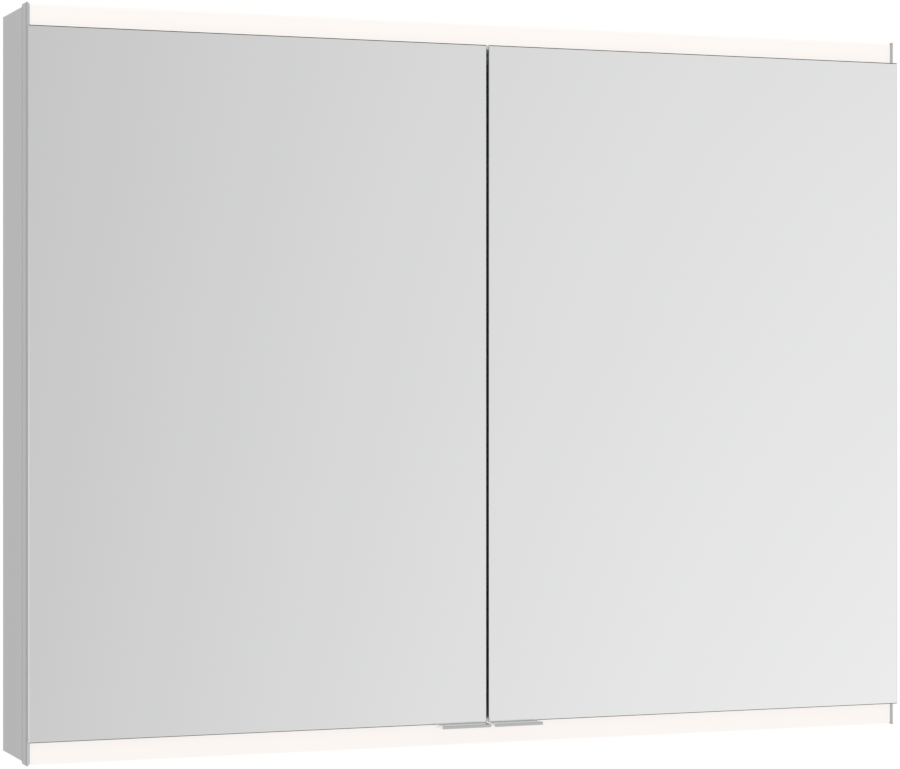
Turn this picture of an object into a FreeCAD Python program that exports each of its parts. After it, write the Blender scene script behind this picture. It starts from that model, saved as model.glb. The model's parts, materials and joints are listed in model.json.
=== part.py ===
import FreeCAD, Part
import Sketcher
import math
import os
import re

# Wall-hung mirror cabinet with two hinged mirror doors and lit strips above and below them.
# Frame: +X right, the doors face -Y, +Z up; the origin is the middle of the wall plane.
# Pieces are drawn for the right or top; their twins are the same shape turned half round Y.

DIMENSIONS = (
    ("half_wide", 450, "half the width over the front frame"),
    ("half_tall", 350, "half the height over the front frame"),
    ("frame_front", 113, "wall to the front edge of the frame"),
    ("frame_wall", 1.95, "wall of the front frame profile"),
    ("frame_bevel", 1, "bevel on the frame's outer front edge"),
    ("frame_slope", 2.4, "fall of the frame's end across its front wall"),
    ("web_depth", 2.4, "web behind the frame's front wall"),
    ("tongue_depth", 28.5, "tongue that slides into the side panel"),
    ("panel_depth", 88.5, "depth of the side panels"),
    ("panel_inset", 1, "side panel face behind the frame face"),
    ("panel_end", 1.6, "side panel end below the frame end"),
    ("sheet", 2, "sheet of the side and rear panels"),
    ("cover_sheet", 1.5, "sheet of the top and bottom covers"),
    ("cover_front", 91.7, "front edge of the top and bottom covers"),
    ("flange", 14, "folded rear flange of the side panels"),
    ("cover_flange", 6, "folded rear flange of the covers, clear of the cable entry"),
    ("joint_gap", 1.6, "shadow gap between casing and frame"),
    ("rear_space", 12, "space between rear panel and wall"),
    ("back_glass", 4, "mirrored back wall"),
    ("deck_level", 322, "inner face of ceiling and floor boards"),
    ("deck_front", 107, "front edge of ceiling and floor boards"),
    ("deck_lip", 12, "stiffening lip of the boards"),
    ("opal_wall", 3, "wall of the opal light cover"),
    ("opal_front", 110.2, "front face of the opal light cover"),
    ("opal_edge", 349.5, "outer face of the opal light cover"),
    ("opal_tuck", 326, "inner edge of the opal cover, behind the door"),
    ("opal_round", 3, "rounded long edge of the opal cover"),
    ("channel_back", 92.7, "rear face of the light channel"),
    ("led_low", 331, "inner edge of the light board"),
    ("led_high", 343, "outer edge of the light board"),
    ("led_half", 430, "half the length of the light board"),
    ("led_pitch", 20, "distance between two light chips"),
    ("liner", 4, "side liner"),
    ("liner_face", 441, "inner face of the side liner"),
    ("middle_half", 6, "half the centre partition"),
    ("middle_front", 105.5, "front edge of the centre partition"),
    ("shelf_glass", 5, "glass shelf"),
    ("shelf_front", 85, "front edge of the shelves"),
    ("shelf_pin_level", 104.5, "height of the shelf pins above the middle"),
    ("pin_hole", 2.5, "radius of the shelf pin holes"),
    ("pin_row_rear", 30, "rear row of shelf pin holes"),
    ("pin_row_front", 74, "front row of shelf pin holes"),
    ("door_front", 120, "wall to the mirror face of the doors"),
    ("pane", 3, "one of the two mirror panes of a door"),
    ("pane_bevel", 0.8, "ground edge of the front pane"),
    ("door_half", 328, "half the height of the doors"),
    ("door_inner", 1.25, "half the gap between the doors"),
    ("door_outer", 450.6, "outer edge of a door"),
    ("handle_wide", 50, "width of a handle"),
    ("handle_inner", 2, "inner end of a handle"),
    ("handle_reach", 14, "handle in front of the mirror face"),
    ("handle_plate", 3, "thickness of the handle plate"),
    ("handle_leg", 1.6, "thickness of the handle's upright leg"),
    ("hinge_x", 444, "hinge axis from the middle"),
    ("hinge_y", 97, "hinge axis from the wall"),
    ("hinge_level", 230, "hinge above and below the middle"),
    ("hinge_tall", 44, "height of a hinge"),
    ("knuckle", 3.2, "radius of the hinge knuckles"),
    ("pin_radius", 1.75, "radius of the hinge pin"),
    ("pin_play", 0.05, "play of the hinge pin in the arm"),
    ("arm_tall", 20, "height of the bent hinge arm"),
    ("knuckle_gap", 0.3, "gap between hinge knuckles"),
    ("arm_thick", 2.5, "thickness of the bent hinge arm"),
    ("arm_radius", 12.2, "bend of the hinge arm, at its middle"),
    ("arm_reach", 23, "hinge axis to the arm's straight leg"),
    ("foot_long", 25, "foot of the arm on the door"),
    ("screw_radius", 2, "radius of the hinge screws"),
    ("rail_half", 380, "half the length of the wall rail"),
    ("rail_low", 262, "lower edge of the wall rail"),
    ("rail_bend", 300, "level where the wall rail steps forward"),
    ("rail_top", 316, "upper edge of the wall rail"),
    ("rail_hole_x", 300, "wall rail screw hole from the middle"),
    ("rail_hole", 3.25, "radius of the wall rail screw holes"),
    ("channel_half", 20, "half the rear channel"),
    ("cable_x", 60, "cable entry from the middle"),
    ("cable_z", 335, "cable entry above the middle"),
    ("cable_hole", 4.5, "radius of the cable entry"),
    ("socket_left", 20, "near side of the socket housing"),
    ("socket_right", 170, "far side of the socket housing"),
    ("socket_low", 268, "underside of the socket housing"),
    ("socket_front", 62, "front of the socket housing"),
    ("socket_wall", 3, "wall of the socket housing"),
    ("socket_z", 295, "height of the sockets and the switch"),
    ("socket_radius", 19.5, "radius of a socket recess"),
    ("socket_deep", 14, "depth of a socket recess"),
    ("switch_x", 150, "switch from the middle"),
    ("rocker_half", 11.6, "half the height of the rocker"),
    ("rocker_tilt", 6, "tilt of the rocker to each side, degrees"),
)

doc = FreeCAD.newDocument("mirror_cabinet")
sheet = doc.addObject("Spreadsheet::Sheet", "Dims")
for row, (alias, number, note) in enumerate(DIMENSIONS, start=1):
    sheet.set(f"A{row}", note)
    sheet.set(f"B{row}", str(number))
    sheet.setAlias(f"B{row}", alias)
doc.recompute()

ALIAS = re.compile(r"\b(" + "|".join(alias for alias, _, _ in DIMENSIONS) + r")\b")
HALF_TURN = FreeCAD.Rotation(FreeCAD.Vector(0, 1, 0), 180)
# Turns that carry a cylinder's own Z axis onto each axis of the cabinet.
TURNS = {
    "x": FreeCAD.Rotation(FreeCAD.Vector(0, 1, 0), 90),
    "y": FreeCAD.Rotation(FreeCAD.Vector(1, 0, 0), -90),
    "z": FreeCAD.Rotation(),
}
SIDES = (("right", False), ("left", True))
HANDS = (("right", 1), ("left", -1))
LEVELS = (("top", False), ("bottom", True))
nodes = []


def bind(thing, prop, text):
    """Bind a property to a formula written with the sheet's own names."""
    thing.setExpression(prop, ALIAS.sub(r"Dims.\1", str(text)))


def keep(thing, label, turned=False):
    """Label a finished sub-part, and turn it half round for the left or the bottom."""
    thing.Label = label
    if turned:
        thing.Placement = FreeCAD.Placement(FreeCAD.Vector(), HALF_TURN)
    nodes.append(thing)
    return thing


def mirrored(span, sign):
    """A span of formulas on the right, or its mirror image on the left."""
    return span if sign > 0 else (f"-({span[1]})", f"-({span[0]})")


def block(name, x, y, z):
    """A box between two formulas on each axis."""
    box = doc.addObject("Part::Box", name)
    for axis, side, (low, high) in zip("xyz", ("Length", "Width", "Height"), (x, y, z)):
        bind(box, "Placement.Base." + axis, low)
        bind(box, side, f"({high}) - ({low})")
    return box


def rod(name, axis, radius, span, centre):
    """A cylinder along axis over span, with its centre given on the other two axes."""
    cylinder = doc.addObject("Part::Cylinder", name)
    cylinder.Placement = FreeCAD.Placement(FreeCAD.Vector(), TURNS[axis])
    places = list(centre)
    places.insert("xyz".index(axis), span[0])
    for letter, place in zip("xyz", places):
        bind(cylinder, "Placement.Base." + letter, place)
    bind(cylinder, "Radius", radius)
    bind(cylinder, "Height", f"({span[1]}) - ({span[0]})")
    return cylinder


def join(name, pieces):
    """Fuse pieces into one solid."""
    fusion = doc.addObject("Part::MultiFuse", name)
    fusion.Shapes = pieces
    fusion.Refine = True
    return fusion


def together(name, pieces):
    """Hold separate solids in one object."""
    compound = doc.addObject("Part::Compound", name)
    compound.Links = pieces
    return compound


def carve(name, base, tools):
    """Cut every tool out of base."""
    result = doc.addObject("Part::Cut", name)
    result.Base = base
    result.Tool = tools[0] if len(tools) == 1 else together(name + "_tools", tools)
    return result


def section(name, plane, outline, length):
    """A body whose closed outline of formula points is padded equally to both sides of plane."""
    body = doc.addObject("PartDesign::Body", name)
    sketch = body.newObject("Sketcher::SketchObject", name + "_section")
    datum = next(f for f in body.Origin.OriginFeatures if f.Role == plane)
    sketch.AttachmentSupport = (datum, [""])
    sketch.MapMode = "FlatFace"
    count = len(outline)
    # The corners start on a small ring, and the constraints carry them to their formulas.
    ring = [FreeCAD.Vector(math.cos(math.tau * i / count), math.sin(math.tau * i / count), 0)
            for i in range(count)]
    sketch.addGeometry([Part.LineSegment(ring[i], ring[(i + 1) % count]) for i in range(count)], False)
    sketch.addConstraint([Sketcher.Constraint("Coincident", i, 2, (i + 1) % count, 1)
                          for i in range(count)])
    for corner, place in enumerate(outline):
        for kind, text, start in zip(("DistanceX", "DistanceY"), place, ring[corner]):
            index = sketch.addConstraint(Sketcher.Constraint(kind, -1, 1, corner, 1, start))
            bind(sketch, f"Constraints[{index}]", text)
    doc.recompute()
    pad = body.newObject("PartDesign::Pad", name + "_pad")
    pad.Profile = sketch
    pad.SideType = "Symmetric"
    bind(pad, "Length", length)
    doc.recompute()
    return body


def dress(body, kind, size, chosen):
    """Round (Fillet, Radius) or bevel (Chamfer, Size) the edges that chosen picks."""
    base = body.Tip
    names = [f"Edge{number}" for number, edge in enumerate(base.Shape.Edges, start=1) if chosen(edge)]
    feature = body.newObject("PartDesign::" + kind, body.Name + "_" + kind.lower())
    feature.Base = (base, names)
    bind(feature, "Radius" if kind == "Fillet" else "Size", size)
    doc.recompute()
    return body


def along(edge, direction):
    """True for an edge that runs along a direction."""
    return abs(edge.tangentAt(edge.FirstParameter).dot(FreeCAD.Vector(*direction))) > 0.999


# Casing: side panels, top and bottom covers, and the front frame's two upright profiles.

def side_panel(side, turned):
    """Sheet panel whose rear edge is folded in against the wall."""
    outer = "half_wide - panel_inset"
    inner = "half_wide - panel_inset - sheet"
    outline = ((outer, "-panel_depth"), (outer, "0"), (f"{inner} - flange", "0"),
               (f"{inner} - flange", "-sheet"), (inner, "-sheet"), (inner, "-panel_depth"))
    panel = section(f"side_panel_{side}", "XY_Plane", outline, "2 * (half_tall - panel_end)")
    keep(panel, f"side_panel_{side}", turned)


def cover(level, turned):
    """Sheet cover between the side panels, folded at the wall and notched for the tongues."""
    outer = "half_tall - panel_end"
    inner = "half_tall - panel_end - cover_sheet"
    side = "half_wide - panel_inset - sheet"
    outline = (("-cover_front", inner), ("-cover_front", outer), ("0", outer),
               ("0", f"{inner} - cover_flange"), ("-sheet", f"{inner} - cover_flange"), ("-sheet", inner))
    plate = section(f"cover_sheet_{level}", "YZ_Plane", outline, f"2 * ({side})")
    tools = []
    for n, sign in enumerate((1, -1)):
        spans = ((f"{side} - flange - 0.5", "half_wide"), (f"{side} - sheet - 0.1", "half_wide"))
        fold, tongue = (mirrored(span, sign) for span in spans)
        tools.append(block(f"cover_fold_{level}_{n}", fold, ("-sheet - 0.1", "1"),
                           (f"{inner} - cover_flange - 1", f"{outer} + 1")))
        tools.append(block(f"cover_tongue_{level}_{n}", tongue,
                           ("-cover_front - 1", "tongue_depth - panel_depth + 0.5"),
                           (f"{inner} - 1", f"{outer} + 1")))
    keep(carve(f"{level}_cover", plate, tools), f"{level}_cover", turned)


def hinge_screw_places():
    """Centres of the screws in one side's two hinge bases, as (y, z) formulas."""
    return [(y, f"{sign} * hinge_level + {rise}")
            for sign in ("1", "-1") for y, rise in (("-82", "12"), ("-68", "-12"))]


def frame_profile(side, turned):
    """Extruded upright: front wall with a fine groove, web, and tongue inside the side panel."""
    inner = "half_wide - frame_wall"
    web = "-panel_depth - joint_gap"
    tongue_out = "half_wide - panel_inset - sheet"
    tongue_in = "half_wide - panel_inset - 2 * sheet"
    tongue_end = "tongue_depth - panel_depth"
    groove = "6 - frame_front"
    outline = (("half_wide", web), ("half_wide", f"{groove} + 0.5"),
               ("half_wide - 0.4", f"{groove} + 0.5"), ("half_wide - 0.4", f"{groove} - 0.5"),
               ("half_wide", f"{groove} - 0.5"), ("half_wide", "frame_bevel - frame_front"),
               ("half_wide - frame_bevel", "-frame_front"), (inner, "-frame_front"),
               (inner, f"{web} - web_depth"), (tongue_in, f"{web} - web_depth"),
               (tongue_in, tongue_end), (tongue_out, tongue_end), (tongue_out, web))
    upright = section(f"frame_{side}", "XY_Plane", outline, "2 * half_tall")
    tools = [rod(f"frame_hole_{side}_{n}", "x", "screw_radius + 0.1",
                 ("half_wide - 8", "half_wide - panel_inset - sheet + 0.01"), place)
             for n, place in enumerate(hinge_screw_places())]
    for n, sign in enumerate(("", "-")):
        # Each end of the front wall falls away towards the light strip.
        fall = (("half_wide", f"{sign}half_tall"), (inner, f"{sign}(half_tall - frame_slope)"),
                (inner, f"{sign}(half_tall + 1)"), ("half_wide", f"{sign}(half_tall + 1)"))
        tools.append(section(f"frame_end_{side}_{n}", "XZ_Plane", fall, "2 * frame_front + 2"))
        # The tongue ends level with the side panel that it slides into.
        spare = ("half_tall - panel_end", "half_tall + 1")
        tools.append(block(f"frame_tongue_end_{side}_{n}", (f"{tongue_in} - 1", "half_wide + 1"),
                           (f"{web} + 0.01", "0"), mirrored(spare, -1) if n else spare))
    keep(carve(f"frame_profile_{side}", upright, tools), f"frame_profile_{side}", turned)


for side, turned in SIDES:
    side_panel(side, turned)
    frame_profile(side, turned)
for level, turned in LEVELS:
    cover(level, turned)


# Rear: panel, mirrored back walls, stiffening channel, wall rail and the rail that hooks on it.

keep(carve("rear_panel",
           block("rear_sheet", ("panel_inset + sheet - half_wide", "half_wide - panel_inset - sheet"),
                 ("-rear_space - sheet", "-rear_space"),
                 ("-half_tall + panel_end + cover_sheet", "half_tall - panel_end - cover_sheet")),
           [rod("rear_cable_hole", "y", "8", ("-20", "0"), ("cable_x", "cable_z"))]),
     "rear_panel")


for side, sign in HANDS:
    keep(block(f"rear_mirror_{side}",
               mirrored(("middle_half + 0.5", "liner_face + liner - 0.5"), sign),
               ("-rear_space - sheet - back_glass", "-rear_space - sheet"),
               ("0.5 - deck_level", "deck_level - 0.5")), f"rear_mirror_{side}")

channel_outline = (("-channel_half", "0"), ("channel_half", "0"), ("channel_half", "-rear_space"),
                   ("channel_half - cover_sheet", "-rear_space"),
                   ("channel_half - cover_sheet", "-cover_sheet"),
                   ("cover_sheet - channel_half", "-cover_sheet"),
                   ("cover_sheet - channel_half", "-rear_space"), ("-channel_half", "-rear_space"))
keep(section("rear_channel", "XY_Plane", channel_outline, "2 * (rail_low - 12)"), "rear_channel")

wall_rail_outline = (("0", "rail_low"), ("0", "rail_bend + sheet"), ("-4", "rail_bend + sheet"),
                     ("-4", "rail_top"), ("-6", "rail_top"), ("-6", "rail_bend"),
                     ("-sheet", "rail_bend"), ("-sheet", "rail_low"))
rail_holes = [rod(f"rail_hole_{n}", "y", "rail_hole", ("-sheet - 1", "1"),
                  (f"{sign}rail_hole_x", "(rail_low + rail_bend) / 2"))
              for n, sign in enumerate(("", "-"))]
keep(carve("wall_rail", section("wall_rail_strip", "YZ_Plane", wall_rail_outline, "2 * rail_half"),
           rail_holes), "wall_rail")

hanging_outline = (("-rear_space", "rail_top - 14"), ("-rear_space", "rail_top + 8"),
                   ("-rear_space + sheet", "rail_top + 8"), ("-rear_space + sheet", "rail_top + sheet"),
                   ("-1", "rail_top + sheet"), ("-1", "rail_bend + 5"), ("-3", "rail_bend + 5"),
                   ("-3", "rail_top"), ("-rear_space + sheet", "rail_top"),
                   ("-rear_space + sheet", "rail_top - 14"))
keep(section("hanging_rail", "YZ_Plane", hanging_outline, "2 * (rail_half - 10)"), "hanging_rail")

keep(together("wall_pads", [rod(f"wall_pad_{n}", "y", "9", ("-rear_space", "0"), (x, "-300"))
                            for n, x in enumerate(("-380", "380"))]), "wall_pads")


# Interior: ceiling and floor boards, liners, partition, shelves.

def deck(name, turned):
    """Board that closes the compartments, with a lip folded down behind the doors."""
    edge = "-deck_front"
    outline = ((edge, "deck_level - deck_lip"), (edge, "deck_level + sheet"),
               ("-rear_space - sheet", "deck_level + sheet"), ("-rear_space - sheet", "deck_level"),
               ("cover_sheet - deck_front", "deck_level"),
               ("cover_sheet - deck_front", "deck_level - deck_lip"))
    keep(section(name, "YZ_Plane", outline, "2 * (liner_face + liner)"), name, turned)


for name, turned in (("ceiling_board", False), ("floor_board", True)):
    deck(name, turned)

PIN_ROWS = ("-pin_row_rear", "-pin_row_front")
HOLE_PITCH = 32
PIN_LEVELS = (("upper", "shelf_pin_level"), ("lower", "-shelf_pin_level"))


def pin_hole_grid(name, x):
    """Two rows of shelf pin holes above and two below the middle."""
    holes = []
    for row in PIN_ROWS:
        for level, place in PIN_LEVELS:
            for step in (-1, 0, 1):
                holes.append(rod(f"{name}_{len(holes)}", "x", "pin_hole", x,
                                 (row, f"{place} + {step * HOLE_PITCH}")))
    return holes


def side_liner(side, turned):
    """Panel inside the side, notched round the two hinge bases and drilled for shelf pins."""
    inner, outer = "liner_face", "liner_face + liner"
    board = block(f"liner_board_{side}", (inner, outer),
                  ("-panel_depth", "-rear_space - sheet - back_glass"),
                  ("1 - deck_level", "deck_level - 1"))
    notches = [block(f"liner_notch_{side}_{n}", (f"{inner} - 1", f"{outer} + 1"),
                     ("-panel_depth - 1", "tongue_depth - panel_depth + 2"),
                     (f"{sign}hinge_level - hinge_tall / 2 - 1", f"{sign}hinge_level + hinge_tall / 2 + 1"))
               for n, sign in enumerate(("", "-"))]
    holes = pin_hole_grid(f"liner_hole_{side}", (f"{inner} - 1", f"{outer} + 1"))
    keep(carve(f"side_liner_{side}", board, notches + holes), f"side_liner_{side}", turned)


for side, turned in SIDES:
    side_liner(side, turned)

partition_board = block("partition_board", ("-middle_half", "middle_half"),
                        ("-middle_front", "-rear_space - sheet"),
                        ("-deck_level", "deck_level"))
partition_holes = pin_hole_grid("partition_hole", ("-middle_half - 1", "middle_half + 1"))
keep(carve("partition", partition_board, partition_holes), "partition")

# The seal's nose stands behind the gap between the doors, its base only between the board lips.
nose_outline = (("1.6", "-middle_front - 1.5"), ("1.2", "2 * pane - door_front + 0.4"),
                ("-1.2", "2 * pane - door_front + 0.4"), ("-1.6", "-middle_front - 1.5"))
keep(join("partition_seal", [
    section("seal_nose", "XY_Plane", nose_outline, "2 * (deck_level + sheet - 0.5)"),
    block("seal_base", ("-5", "5"), ("-middle_front - 1.5", "-middle_front"),
          ("deck_lip - deck_level + 0.5", "deck_level - deck_lip - 0.5"))]), "partition_seal")


def shelf(side, sign, level, place):
    """Glass shelf that lies on four pins."""
    board = block(f"shelf_{side}_{level}", mirrored(("middle_half + 1", "liner_face - 1"), sign),
                  ("-shelf_front", "-rear_space - sheet - back_glass - 1"),
                  (f"{place} + pin_hole", f"{place} + pin_hole + shelf_glass"))
    keep(board, f"shelf_{side}_{level}")


for side, sign in HANDS:
    for level, place in PIN_LEVELS:
        shelf(side, sign, level, place)


def shelf_pin(number, x_wall, inward, row, place):
    """Pin: a stem in the panel, a collar against it and the stub that the shelf lies on."""
    def run(low, high):
        ends = (f"{x_wall} + {inward * low}", f"{x_wall} + {inward * high}")
        return ends if inward > 0 else ends[::-1]
    stem = rod(f"pin_stem_{number}", "x", "pin_hole - 0.05", run(-3.6, 9), (row, place))
    collar = rod(f"pin_collar_{number}", "x", "pin_hole - 0.01 + 1.2", run(0, 0.8), (row, place + " - 1.2"))
    return join(f"shelf_pin_{number}", [stem, collar])


pins = []
for row in PIN_ROWS:
    for level, place in PIN_LEVELS:
        for x_wall, inward in (("liner_face", -1), ("-liner_face", 1),
                               ("middle_half", 1), ("-middle_half", -1)):
            pins.append(shelf_pin(len(pins), x_wall, inward, row, place))
keep(together("shelf_pins", pins), "shelf_pins")


# Lights above and below the doors: channel, light board, chips and opal cover.

def light(level, turned):
    """One light strip behind the frame's front edge."""
    half = "half_wide - frame_wall - 0.2"
    back, front = "-channel_back", "-opal_front + opal_wall"
    channel = ((back, "deck_level + sheet"), (back, "opal_edge - opal_wall"),
               ("-channel_back - sheet", "opal_edge - opal_wall"),
               ("-channel_back - sheet", "deck_level + 2 * sheet"),
               (front, "deck_level + 2 * sheet"), (front, "deck_level + sheet"))
    length = "2 * (liner_face + liner - 1)"
    keep(section(f"light_channel_{level}", "YZ_Plane", channel, length), f"light_channel_{level}", turned)
    board_face = "-channel_back - sheet - 1.6"
    board = block(f"led_strip_{level}", ("-led_half", "led_half"), (board_face, "-channel_back - sheet"),
                  ("led_low", "led_high"))
    keep(together(f"led_board_{level}", [board]), f"led_board_{level}", turned)
    middle = "(led_low + led_high) / 2"
    chips = []
    for number in range(int(2 * sheet.led_half / sheet.led_pitch)):
        place = f"({number} + 0.5) * led_pitch - led_half"
        chips.append(block(f"led_chip_{level}_{number}", (f"{place} - 1.75", f"{place} + 1.75"),
                           (f"{board_face} - 0.7", board_face), (f"{middle} - 1.4", f"{middle} + 1.4")))
    keep(together(f"led_chips_{level}", chips), f"led_chips_{level}", turned)
    opal = (("-opal_front", "opal_tuck"), ("-opal_front", "opal_edge"), (back, "opal_edge"),
            (back, "opal_edge - opal_wall"), (front, "opal_edge - opal_wall"), (front, "opal_tuck"))
    cover_body = section(f"opal_cover_{level}", "YZ_Plane", opal, f"2 * ({half})")
    corner = sheet.opal_edge
    dress(cover_body, "Fillet", "opal_round",
          lambda e: along(e, (1, 0, 0)) and abs(e.CenterOfMass.z - corner) < 0.01
          and abs(e.CenterOfMass.y + sheet.opal_front) < 0.01)
    keep(cover_body, f"opal_cover_{level}", turned)


for level, turned in LEVELS:
    light(level, turned)


# Hinges: base on the frame's tongue, pin, and bent arm on the door. Their own frame has the
# hinge axis as Z, and is drawn for the right side.

def hang(thing, side, sign, place):
    """Put a hinge piece on its axis, at a height above the middle."""
    thing.Placement = FreeCAD.Placement(FreeCAD.Vector(), HALF_TURN if sign < 0 else TURNS["z"])
    bind(thing, "Placement.Base.x", f"{sign} * hinge_x")
    bind(thing, "Placement.Base.y", "-hinge_y")
    bind(thing, "Placement.Base.z", place)
    return thing


BASE_IN, BASE_OUT = "-2", "half_wide - panel_inset - 2 * sheet - hinge_x"
BASE_FRONT, BASE_REAR = "6", "hinge_y + tongue_depth - panel_depth"


def hinge_base(name):
    """Plate on the tongue, with a knuckle above and one below the arm."""
    pieces = [block(f"{name}_plate", (BASE_IN, BASE_OUT), (BASE_FRONT, BASE_REAR),
                    ("-hinge_tall / 2", "hinge_tall / 2"))]
    for n, span in enumerate((("arm_tall / 2 + knuckle_gap", "hinge_tall / 2"),
                              ("-hinge_tall / 2", "-arm_tall / 2 - knuckle_gap"))):
        pieces.append(block(f"{name}_neck_{n}", (BASE_IN, BASE_OUT), ("0", BASE_FRONT), span))
        pieces.append(rod(f"{name}_knuckle_{n}", "z", "knuckle", span, ("0", "0")))
    bores = [rod(f"{name}_bore", "z", "pin_radius", ("-hinge_tall", "hinge_tall"), ("0", "0"))]
    for n, (y, rise) in enumerate((("hinge_y - 82", 12), ("hinge_y - 68", -12))):
        bores.append(rod(f"{name}_screw_hole_{n}", "x", "screw_radius + 0.1", ("-4", "4"), (y, rise)))
    return carve(name, join(f"{name}_blank", pieces), bores)


def hinge_arm(name):
    """Knuckle, bend that clears the frame's edge, straight leg, and foot on the door."""
    centre_x = "arm_radius - arm_reach"
    centre_y = f"-sqrt(arm_radius ^ 2 - ({centre_x}) ^ 2)"
    door_back = "hinge_y - door_front + 2 * pane"
    height = ("-arm_tall / 2", "arm_tall / 2")
    outer = rod(f"{name}_outer", "z", "arm_radius + arm_thick / 2", height, (centre_x, centre_y))
    inner = rod(f"{name}_inner", "z", "arm_radius - arm_thick / 2", ("-arm_tall", "arm_tall"),
                (centre_x, centre_y))
    for sector in (outer, inner):
        # The bend runs from the hinge axis to the leg, where it points straight at the door.
        start = "acos((arm_reach - arm_radius) / arm_radius)"
        bind(sector, "Placement.Rotation.Angle", start)
        bind(sector, "Angle", f"180 deg - {start}")
    bend = carve(f"{name}_bend", outer, [inner])
    half = "arm_thick / 2"
    leg = block(f"{name}_leg", (f"-arm_reach - {half}", f"{half} - arm_reach"),
                (door_back, centre_y), height)
    foot = block(f"{name}_foot", ("-arm_reach - foot_long + 3", "3 - arm_reach"),
                 (door_back, f"{door_back} + arm_thick"), ("-hinge_tall / 2", "hinge_tall / 2"))
    knuckle = rod(f"{name}_knuckle", "z", "knuckle", height, ("0", "0"))
    bore = rod(f"{name}_bore", "z", "pin_radius + pin_play", ("-arm_tall", "arm_tall"), ("0", "0"))
    return carve(name, join(f"{name}_blank", [bend, leg, foot, knuckle]), [bore])


pins, screws = [], []
for side, sign in HANDS:
    for level, place in (("upper", "hinge_level"), ("lower", "-hinge_level")):
        name = f"{side}_{level}"
        keep(hang(hinge_base(f"hinge_base_{name}"), side, sign, place), f"hinge_base_{name}")
        keep(hang(hinge_arm(f"hinge_arm_{name}"), side, sign, place), f"hinge_arm_{name}")
        pin = rod(f"hinge_pin_{name}", "z", "pin_radius", ("-hinge_tall / 2 - 1", "hinge_tall / 2 + 1"),
                  ("0", "0"))
        pins.append(hang(together(f"hinge_pin_set_{name}", [pin]), side, sign, place))
        for n, (y, rise) in enumerate((("hinge_y - 82", 12), ("hinge_y - 68", -12))):
            head = rod(f"screw_head_{name}_{n}", "x", "2 * screw_radius", ("-3.6", BASE_IN), (y, rise))
            shank = rod(f"screw_shank_{name}_{n}", "x", "screw_radius", (BASE_IN, "2.9"), (y, rise))
            slot = block(f"screw_slot_{name}_{n}", ("-4", "-2.8"), (f"{y} - 0.5", f"{y} + 0.5"),
                         (f"{rise} - 3", f"{rise} + 3"))
            screw = carve(f"screw_{name}_{n}", join(f"screw_blank_{name}_{n}", [head, shank]), [slot])
            screws.append(hang(screw, side, sign, place))
keep(together("hinge_pins", pins), "hinge_pins")
keep(together("hinge_screws", screws), "hinge_screws")


# Doors: two mirror panes back to back, and a handle under the pane beside the middle.

def pane(name, sign, front):
    """Glass pane from the front face given, one pane thick."""
    near, far = mirrored(("door_inner", "door_outer"), sign)
    outline = ((near, "-door_half"), (far, "-door_half"), (far, "door_half"), (near, "door_half"))
    body = section(name, "XZ_Plane", outline, "pane")
    bind(body, "Placement.Base.y", f"{front} + pane / 2")
    return body


def handle(side, turned):
    """Angle: the plate lies under the door, and its leg is bonded to the door's back."""
    back = "2 * pane - door_front"
    low = "-door_half - handle_plate"
    outline = (("-door_front - handle_reach", low), (f"{back} + handle_leg", low),
               (f"{back} + handle_leg", "18 - door_half"), (back, "18 - door_half"),
               (back, "-door_half"), ("-door_front - handle_reach", "-door_half"))
    body = section(f"handle_{side}", "YZ_Plane", outline, "handle_wide")
    dress(body, "Fillet", "0.6", lambda e: along(e, (1, 0, 0))
          and e.CenterOfMass.y < -sheet.door_front - sheet.handle_reach + 0.01)
    bind(body, "Placement.Base.x", f"{'-' if turned else ''}(handle_inner + handle_wide / 2)")
    nodes.append(body)
    body.Label = f"handle_{side}"


for side, turned in SIDES:
    sign = -1 if turned else 1
    front_pane = pane(f"mirror_front_{side}", sign, "-door_front")
    front_level = -sheet.pane / 2
    dress(front_pane, "Chamfer", "pane_bevel",
          lambda e: abs(e.BoundBox.YMin - front_level) < 0.01 and e.BoundBox.YLength < 0.01)
    keep(front_pane, f"mirror_front_{side}")
    keep(pane(f"mirror_back_{side}", sign, "pane - door_front"), f"mirror_back_{side}")
    handle(side, turned)

bumpers = []
for x in ("80", "400", "-80", "-400"):
    for level in ("deck_level - 6", "6 - deck_level"):
        bumpers.append(rod(f"bumper_{len(bumpers)}", "y", "4",
                           ("2 * pane - door_front + 0.3", "-deck_front"), (x, level)))
keep(together("door_bumpers", bumpers), "door_bumpers")


# Electrics: cable entry, terminal block, light supply, leads, sockets and light switch.

entry_back = "-rear_space + 1.5"
entry_front = "-rear_space - sheet - 1.5"
grommet = join("grommet_blank", [
    rod("grommet_sleeve", "y", "8", (entry_front, entry_back), ("cable_x", "cable_z")),
    rod("grommet_rear_lip", "y", "10", ("-rear_space", entry_back), ("cable_x", "cable_z")),
    rod("grommet_front_lip", "y", "10", (entry_front, "-rear_space - sheet"), ("cable_x", "cable_z"))])
keep(carve("cable_grommet", grommet,
           [rod("grommet_bore", "y", "cable_hole", ("-30", "0"), ("cable_x", "cable_z"))]), "cable_grommet")

DECK_TOP = "deck_level + sheet"
SUPPLY = ("-250", "-90")
supply_case = block("supply_case", SUPPLY, ("-76", "-30"), (DECK_TOP, f"{DECK_TOP} + 20"))
supply_ears = block("supply_ears", (f"{SUPPLY[0]} - 10", f"{SUPPLY[1]} + 10"), ("-62", "-44"),
                    (DECK_TOP, f"{DECK_TOP} + 2.5"))
keep(carve("light_supply", join("supply_blank", [supply_case, supply_ears]),
           [rod(f"supply_hole_{n}", "z", "1.75", ("deck_level", "deck_level + 8"), (x, "-53"))
            for n, x in enumerate((f"{SUPPLY[0]} - 5", f"{SUPPLY[1]} + 5"))]), "light_supply")

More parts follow.
